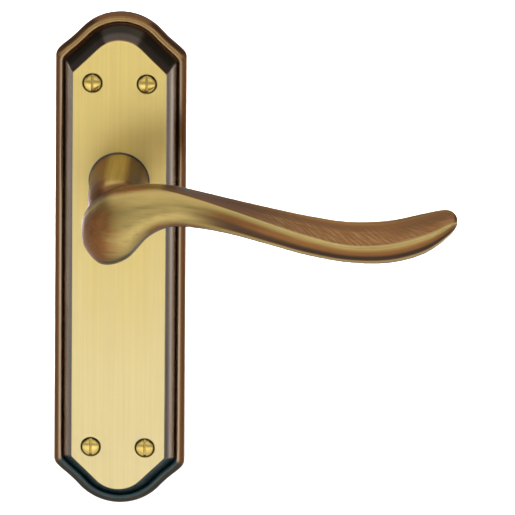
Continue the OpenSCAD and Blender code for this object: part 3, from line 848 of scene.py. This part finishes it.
def soften_junction(lever):
    """A soft fillet where the neck meets the grip."""
    bm = bmesh.new()
    bm.from_mesh(lever.data)
    crease = set()
    for edge in bm.edges:
        depth = -edge.verts[0].co.y / MM
        radius = math.hypot(edge.verts[0].co.x, edge.verts[0].co.z) / MM
        sharp = edge.calc_face_angle(0) > math.radians(CREASE_ANGLE)
        if sharp and JUNCTION_D[0] < depth < JUNCTION_D[1] and radius < NECK_R + 1:
            crease.update(edge.verts)
    tree = tree_of([v.co for v in crease])
    near = [v for v in bm.verts if tree.find(v.co)[2] < FILLET_REACH * MM]
    for _ in range(FILLET_ROUNDS):
        bmesh.ops.smooth_vert(bm, verts=near, factor=0.5, use_axis_x=True, use_axis_y=True, use_axis_z=True)
    bm.to_mesh(lever.data)
    bm.free()
    tidy(lever, 40)


def flow_and_finish(lever, rows, grip_points, paints):
    """The finish, painted shade and painted highlights of each point of the casting, and the way its brushing
    runs.
    """
    points = vertices_of(lever)
    grip = tree_of(grip_points)
    found = [grip.find(p) for p in points]
    index = np.array([f[1] for f in found])
    gap = np.array([f[2] for f in found])
    on_neck = smooth(0.6, 2.2, gap)
    brown, crest, dark, scratch = (np.concatenate([p[k] for p in paints])[index] for k in range(4))
    x = points[:, 0]
    # Painted highlight and shade on the neck: brown down both sides leaves a gold stripe along the middle, a
    # painted highlight, and neck_dark is painted shade, strong on the right and faint on the left.
    neck_brown = smooth(1, 6, np.abs(x - 0.3)) * 1.1
    neck_dark = 0.7 * smooth(2.5, 6, x) * (1 - 0.6 * smooth(8, 10, x)) + 0.25 * smooth(4, 9, -x)
    paint(lever, "patina_and_shade", brown * (1 - on_neck) + neck_brown * on_neck)
    paint(lever, "crest", crest * (1 - on_neck))
    paint(lever, "shade", dark * (1 - on_neck) + neck_dark * on_neck)
    paint(lever, "scratch", scratch * (1 - on_neck))
    middle = np.interp(np.maximum(points[:, 0], BULB_END), rows[:, 0], (rows[:, 1] + rows[:, 2]) / 2)
    depth = np.interp(points[:, 0], rows[:, 0], rows[:, 3])
    along = np.stack([points[:, 0], points[:, 1] + depth, points[:, 2] - middle], 1)
    down = points[:, [1, 0, 2]]
    flow = np.where(on_neck[:, None] > 0.5, down, along) * MM
    paint_vectors(lever, "flow", flow)
    paint_vectors(lever, "stroke_flow", np.concatenate([p[4] for p in paints])[index] * MM)


# ---------------------------------------------------------------- turned and pressed pieces

CUP_R, CUP_T, CUP_FRONT, CUP_BACK, CUP_HOLE_R = 17.4, 0.8, 6, 1.6, 8.4
COVER_BACK, COVER_HOLE_R = 0.9, 10.2
EAR_W = 8
SMALL_R, SMALL_HEAD_R, SMALL_HEAD_T, SMALL_L = 1.5, 2.7, 0.75, 6.4
SMALL_PITCH, SMALL_THREADS = 0.4, 14
BUSH_FLANGE_R, BUSH_FLANGE_D = 12.4, 8.8
COIL_R, COIL_TURNS, COIL_ANGLE, COIL_FRONT, COIL_RISE, WIRE_D = 14.3, 1.75, -80, 4.5, 1.1, 1
CAM_R, CAM_FRONT, CAM_BACK = 13, 4, 2.2
STOP_R, STOP_SLOT_R = 10.4, 1.8
PIN_R, PIN_HOLE_R, PIN_FRONT, PIN_BACK = 1, 1.02, 6, 1.7
BUFFER_R, ANCHOR_R = 1.45, 0.7
COIL_POINTS = 200
STACK_R = 9.2
WAVE_D, WAVE_T, WAVE_SWING, WAVES, WAVE_POINTS = 4.9, 0.2, 0.15, 3, 144
CLIP_R, CLIP_T, CLIP_GAP = 8.6, 0.8, 5
GRUB_PITCH = 0.5
STOP_ANGLES = (60, 240)
TRAVEL = RECORD["behaviour"]["joints"][0]["range_deg"][1]


def washer(name, r, hole, front, back, bevel=0.12, n=96):
    return lathe(name, rounded([(r, front), (r, back), (hole, back), (hole, front)], bevel), n, closed=True)


def ears(name, front, back):
    """A strap with round ends, across the cup and down to both ears."""
    half, reach = EAR_W / 2, abs(EAR_PLACES[0])
    arc = [(x, math.sqrt((reach + 3) ** 2 - x * x)) for x in np.linspace(-half, half, 17)]
    line = arc + [(x, -z) for x, z in reversed(arc)]
    return slab(name, line, front, back)


def slab(name, outline, front, back):
    line = np.array(outline)
    rings = [np.stack([line[:, 0], np.full(len(line), -d), line[:, 1]], 1) for d in (front, back)]
    return loft(name, rings)


def drill(obj, places, r, front, back):
    for place in places:
        cut(obj, rod("hole", r, front, back, 40, place))


def make_housing():
    inner = CUP_FRONT - CUP_T
    cup = rounded([(CUP_R, CUP_FRONT), (CUP_R, CUP_BACK), (CUP_R - CUP_T, CUP_BACK), (CUP_R - CUP_T, inner),
                   (CUP_HOLE_R, inner), (CUP_HOLE_R, CUP_FRONT)], 0.3)
    housing = lathe("spring_housing_cup", cup, 128, closed=True)
    strap = ears("strap", CUP_BACK + CUP_T, CUP_BACK)
    cut(strap, rod("inside", CUP_R - CUP_T / 2, CUP_FRONT, 0, 96))
    cut(housing, strap, "UNION")
    drill(housing, [(0, z) for z in EAR_PLACES], SMALL_R + 0.05, CUP_FRONT, 0)
    drill(housing, [polar(STOP_R, a) for a in STOP_ANGLES], PIN_HOLE_R, 8, 4)
    dress(housing, "plate", [ZINC], "spring_housing")
    even_normals(housing)


def make_cover():
    cover = lathe("cassette_cover_plate", rounded([(0, CUP_BACK), (CUP_R, CUP_BACK), (CUP_R, COVER_BACK),
                                                   (0, COVER_BACK)], 0.2, closed=False), 128)
    cut(cover, ears("strap", CUP_BACK, COVER_BACK), "UNION")
    mouth = [(0, 3), (COVER_HOLE_R, 3), (COVER_HOLE_R, COVER_BACK + 0.2),
             (COVER_HOLE_R + 0.2, COVER_BACK - 0.01), (COVER_HOLE_R + 0.2, -1), (0, -1)]
    cut(cover, lathe("mouth", mouth, 128))
    drill(cover, [(0, z) for z in EAR_PLACES], SMALL_R + 0.05, 3, -1)
    dress(cover, "plate", [ZINC], "cassette_cover")
    even_normals(cover)


def make_housing_screws():
    for number, z in enumerate(EAR_PLACES, 1):
        top, back = COVER_BACK, COVER_BACK - SMALL_HEAD_T
        profile = [(0, top + SMALL_L), (SMALL_R - 0.25, top + SMALL_L), (SMALL_R, top + SMALL_L - 0.3)]
        for i in range(SMALL_THREADS):
            d = top + SMALL_L - 0.5 - i * SMALL_PITCH
            profile += [(SMALL_R, d), (SMALL_R - 0.22, d - SMALL_PITCH / 2)]
        profile += [(SMALL_R, top), (SMALL_HEAD_R, top), (SMALL_HEAD_R, top - 0.35)]
        profile += [(SMALL_HEAD_R * cosd(a), top - 0.35 - (SMALL_HEAD_T - 0.35) * sind(a))
                    for a in (20, 40, 60, 80)]
        profile += [(0, back)]
        screw = lathe("housing_screw_%d" % number, profile, 48, (0, z))
        cut(screw, block("slot", (-4, -back - 0.42, z - 0.3), (4, 1, z + 0.3)))
        dress(screw, "plate", [BLACKENED], "housing_screws")
        even_normals(screw)


def make_bush():
    r = 9.98
    profile = rounded([(r, PLATE_D), (r, BUSH_FLANGE_D), (BUSH_FLANGE_R, BUSH_FLANGE_D), (BUSH_FLANGE_R, 6),
                       (JOURNAL_R + 0.05, 6), (JOURNAL_R + 0.05, PLATE_D)], 0.2)
    dress(lathe("neck_bush_sleeve", profile, 128, closed=True), "plate", [NYLON], "neck_bush")


def make_cam():
    disc = rounded([(0, CAM_FRONT), (CAM_R, CAM_FRONT), (CAM_R, CAM_BACK), (0, CAM_BACK)], 0.15, closed=False)
    cam = lathe("drive_cam_disc", disc, 128)
    flat, r = STUB_FLAT + 0.05, STUB_R + 0.05
    open_angle = math.degrees(math.acos(flat / r))
    arcs = [polar(r, a) for a in np.linspace(open_angle, 180 - open_angle, 31)]
    cut(cam, slab("mouth", arcs + [(-x, -z) for x, z in arcs], CAM_FRONT + 1, CAM_BACK - 1))
    for start in STOP_ANGLES:
        cut(cam, slab("track", arc_slot(start, start + TRAVEL), CAM_FRONT + 1, CAM_BACK - 1))
    end = COIL_ANGLE + COIL_TURNS * 360
    out, side = np.array(polar(1, end)), np.array(polar(1, end + 90))
    corners = [out * r0 + side * s for r0, s in ((CAM_R - 1.6, -0.7), (CAM_R + 3, -0.7), (CAM_R + 3, 0.7),
                                                 (CAM_R - 1.6, 0.7))]
    cut(cam, slab("notch", corners, CAM_FRONT + 1, CAM_BACK - 1))
    dress(cam, "handle", [ZINC], "drive_cam")
    even_normals(cam)


def arc_slot(start, end):
    """A curved slot with round ends."""
    outer = [polar(STOP_R + STOP_SLOT_R, a) for a in np.linspace(start, end, 25)]
    inner = [polar(STOP_R - STOP_SLOT_R, a) for a in np.linspace(end, start, 25)]
    def cap(at, first):
        c = np.array(polar(STOP_R, at))
        return [tuple(c + polar(STOP_SLOT_R, first + a)) for a in range(15, 166, 15)]
    return outer + cap(end, end) + inner + cap(start, start + 180)


def make_pins():
    for number, angle in enumerate(STOP_ANGLES, 1):
        pin = rounded([(0, PIN_FRONT), (PIN_R, PIN_FRONT), (PIN_R, PIN_BACK), (0, PIN_BACK)], 0.2,
                      closed=False)
        dress(lathe("stop_pin_%d" % number, pin, 32, polar(STOP_R, angle)), "plate",
              [BLACKENED], "stop_pins")
        sleeve = rounded([(BUFFER_R, CAM_FRONT), (BUFFER_R, CAM_BACK), (PIN_HOLE_R, CAM_BACK),
                          (PIN_HOLE_R, CAM_FRONT)], 0.12)
        dress(lathe("stop_buffer_%d" % number, sleeve, 32, polar(STOP_R, angle), closed=True), "plate",
              [RUBBER], "stop_buffers")
    low, high = node_mm("spring_anchor_pin")
    centre = ((low[0] + high[0]) / 2, (low[2] + high[2]) / 2)
    pin = rounded([(0, PIN_FRONT), (ANCHOR_R, PIN_FRONT), (ANCHOR_R, PIN_BACK), (0, PIN_BACK)], 0.15,
                  closed=False)
    dress(lathe("spring_anchor_post", pin, 24, centre), "plate", [BLACKENED],
          "spring_anchor_pin")


def make_spring():
    """A coil with a leg in the cam's notch and a leg on the anchor pin."""
    end = COIL_ANGLE + COIL_TURNS * 360
    start = -COIL_FRONT + WIRE_D / 2
    path = [(r * cosd(end), start + COIL_RISE * COIL_TURNS, r * sind(end))
            for r in np.linspace(COIL_R - 2.4, COIL_R - 0.5, 6)]
    for i in range(COIL_POINTS, -1, -1):
        a = COIL_ANGLE + COIL_TURNS * 360 * i / COIL_POINTS
        path.append((COIL_R * cosd(a), start + COIL_RISE * COIL_TURNS * i / COIL_POINTS, COIL_R * sind(a)))
    path += [(r * cosd(COIL_ANGLE), start, r * sind(COIL_ANGLE))
             for r in np.linspace(COIL_R + 0.5, COIL_R + 1.9, 5)]
    path = np.array(path)
    for _ in range(2):
        path[1:-1] = (path[:-2] + 2 * path[1:-1] + path[2:]) / 4
    spring = loft("return_spring_coil", tube_rings(path, WIRE_D / 2 - 0.01, 16))
    spring.data.materials.append(SPRING_STEEL)
    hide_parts("return_spring")
    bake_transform(spring)


def tube_rings(path, r, sides):
    tangents = np.gradient(path, axis=0)
    rings = []
    for p, t in zip(path, tangents):
        t = t / np.linalg.norm(t)
        u = np.cross(t, (0, 1, 0))
        u /= np.linalg.norm(u)
        v = np.cross(u, t)
        a = full_turn(sides)[:, None]
        rings.append(p + r * (np.cos(a) * u + np.sin(a) * v))
    return rings


def make_washers():
    hole = STUB_R + 0.15
    dress(washer("neck_washer_ring", NECK_R + 0.4, JOURNAL_R + 0.1, PLATE_D + 0.5, PLATE_D), "plate",
          [BLACKENED], "neck_washer")
    dress(washer("thrust_washer_ring", STACK_R, hole, CAM_FRONT + 0.55, CAM_FRONT + 0.05), "handle",
          [ZINC], "thrust_washer")
    dress(washer("retaining_washer_ring", STACK_R, hole, CAM_BACK - 0.05, GROOVE_D + 0.05), "handle",
          [ZINC], "retaining_washer")
    a = full_turn(WAVE_POINTS)
    middle = WAVE_D + WAVE_SWING * np.cos(WAVES * a)
    rings = [np.stack([r * np.cos(a), -(middle + side * WAVE_T / 2), r * np.sin(a)], 1)
             for r, side in ((hole, -1), (STACK_R, -1), (STACK_R, 1), (hole, 1))]
    wave = hoop("wave_washer_ring", rings)
    dress(wave, "plate", [SPRING_STEEL], "wave_washer")


def make_circlip():
    clip = washer("circlip_ring", CLIP_R, GROOVE_R + 0.05, GROOVE_D, GROOVE_D - CLIP_T, 0.1)
    cut(clip, block("gap", (-CLIP_GAP / 2, -3, 0), (CLIP_GAP / 2, 1, 10)))
    for x in (-1, 1):
        drill(clip, [polar(7.45, 90 + x * 26)], 0.5, 3, -1)
    dress(clip, "handle", [BLACKENED], "circlip")
    even_normals(clip)


def make_spindle():
    low, high = node_mm("spindle")
    bar = block("spindle_bar", low, high, 0.35)
    dress(bar, "handle", [ZINC], "spindle")
    even_normals(bar)


def make_grub_screw():
    low, high = node_mm("grub_screw")
    r = (high[0] - low[0]) / 2
    span = high[2] - low[2]
    profile = [(0, high[2]), (r - 0.5, high[2]), (r, high[2] - 0.5)]
    for i in range(int((span - 1.2) / GRUB_PITCH)):
        z = high[2] - 0.6 - i * GRUB_PITCH
        profile += [(r, z), (r - 0.3, z - GRUB_PITCH / 2)]
    profile += [(r, low[2] + 0.3), (r - 0.3, low[2]), (0, low[2])]
    screw = lathe("grub_screw_body", profile, 64)
    cut(screw, rod("key", 1.44, low[2] + 2.4, low[2] - 1, 6))
    dress(upright(screw), "handle", [BLACKENED], "grub_screw")


# ---------------------------------------------------------------- camera, floor and light

CAMERA_AZIMUTH = 3.0
CAMERA_ELEVATION = 17.634
CAMERA_ROLL = 0.49
CAMERA_DISTANCE = 4.9615
CAMERA_LENS = 992.0
CAMERA_AIM = (0.047923, -0.029414)


def make_camera():
    """A long lens, a little above the handle."""
    back = Vector((sind(CAMERA_AZIMUTH) * cosd(CAMERA_ELEVATION),
                   -cosd(CAMERA_AZIMUTH) * cosd(CAMERA_ELEVATION), sind(CAMERA_ELEVATION)))
    right = Vector((cosd(CAMERA_AZIMUTH), sind(CAMERA_AZIMUTH), 0))
    up = back.cross(right)
    camera = link("camera", bpy.data.cameras.new("camera"))
    turned_right = cosd(CAMERA_ROLL) * right + sind(CAMERA_ROLL) * up
    turned_up = -sind(CAMERA_ROLL) * right + cosd(CAMERA_ROLL) * up
    turn = Matrix((turned_right, turned_up, back)).transposed()
    camera.matrix_world = Matrix.Translation(CAMERA_AIM[0] * right + CAMERA_AIM[1] * up
                                             + back * CAMERA_DISTANCE) @ turn.to_4x4()
    camera.data.lens = CAMERA_LENS
    camera.data.sensor_width = 36
    camera.data.clip_end = 100
    bpy.context.scene.camera = camera


FLOOR_Z = -0.35
FLOOR_HALF = 7.0


def make_floor():
    mesh = bpy.data.meshes.new("studio_floor")
    corners = [(x * FLOOR_HALF, y * FLOOR_HALF, FLOOR_Z) for x, y in ((-1, -1), (1, -1), (1, 1), (-1, 1))]
    mesh.from_pydata(corners, [], [(0, 1, 2, 3)])
    floor = link("studio_floor", mesh)
    g = Graph("studio_floor")
    place = g.node("TexCoord").outputs["Object"]
    g.put(g.shader.inputs["Base Color"], g.mix(g.noise(place, 3.0), (0.88, 0.88, 0.88), (0.92, 0.92, 0.92)))
    g.shader.inputs["Roughness"].default_value = 0.8
    mesh.materials.append(g.material)


def area_light(name, place, target, size, radiance, glossy=True, spread=180):
    """A soft box of the given brightness, hidden from the camera."""
    data = bpy.data.lights.new(name, "AREA")
    data.shape, data.size, data.size_y = "RECTANGLE", *size
    data.energy = radiance * math.pi * size[0] * size[1]
    data.spread = math.radians(spread)
    light = link(name, data)
    light.location = place
    aim = Vector(target) - Vector(place)
    light.rotation_euler = aim.to_track_quat("-Z", "Y").to_euler()
    light.visible_camera, light.visible_glossy = False, glossy


def make_world():
    world = bpy.data.worlds.new("studio_light")
    bpy.context.scene.world = world
    world.use_nodes = True
    nodes, links = world.node_tree.nodes, world.node_tree.links
    background = nodes["Background"]
    place = nodes.new("ShaderNodeTexCoord")
    split = nodes.new("ShaderNodeSeparateXYZ")
    ramp = nodes.new("ShaderNodeValToRGB")
    links.new(place.outputs["Generated"], split.inputs[0])
    links.new(split.outputs["Z"], ramp.inputs[0])
    links.new(ramp.outputs[0], background.inputs[0])
    stops = ramp.color_ramp.elements
    stops[0].position, stops[0].color = 0.0, (1.0, 1.0, 1.0, 1)
    stops[1].position, stops[1].color = 1.0, (0.10, 0.10, 0.11, 1)
    middle = stops.new(0.35)
    middle.color = (0.6, 0.6, 0.61, 1)
    background.inputs[1].default_value = 0.6


def make_lights():
    area_light("behind_floor", (0, 1.75, 1.0), (0, 1.6, FLOOR_Z), (3.0, 0.8), 9.0, glossy=False, spread=85)
    area_light("front_floor", (0, -0.8, 0.75), (0, -0.85, FLOOR_Z), (1.8, 0.3), 3.4, glossy=False, spread=80)
    area_light("front_fill", (0, -2.4, 0.75), (0, 0, 0), (3.4, 1.3), 0.55)
    area_light("overhead", (0, 0, 1.8), (0, 0, 0), (3.0, 3.8), 1.0)
    area_light("left_panel", (-1.5, -0.5, 0.2), (0, 0, 0), (0.5, 1.2), 0.6)
    area_light("right_panel", (1.5, -0.6, 0.2), (0, 0, 0), (0.4, 1.2), 1.1)


make_camera()
make_floor()
make_world()
make_lights()
make_backplate()
for count, screw_place in enumerate(SCREW_PLACES, 1):
    make_screw(count, screw_place)
make_lever()
make_bush()
make_washers()
make_housing()
make_cover()
make_housing_screws()
make_cam()
make_pins()
make_spring()
make_circlip()
make_spindle()
make_grub_screw()

bpy.context.scene.view_settings.view_transform = "Standard"
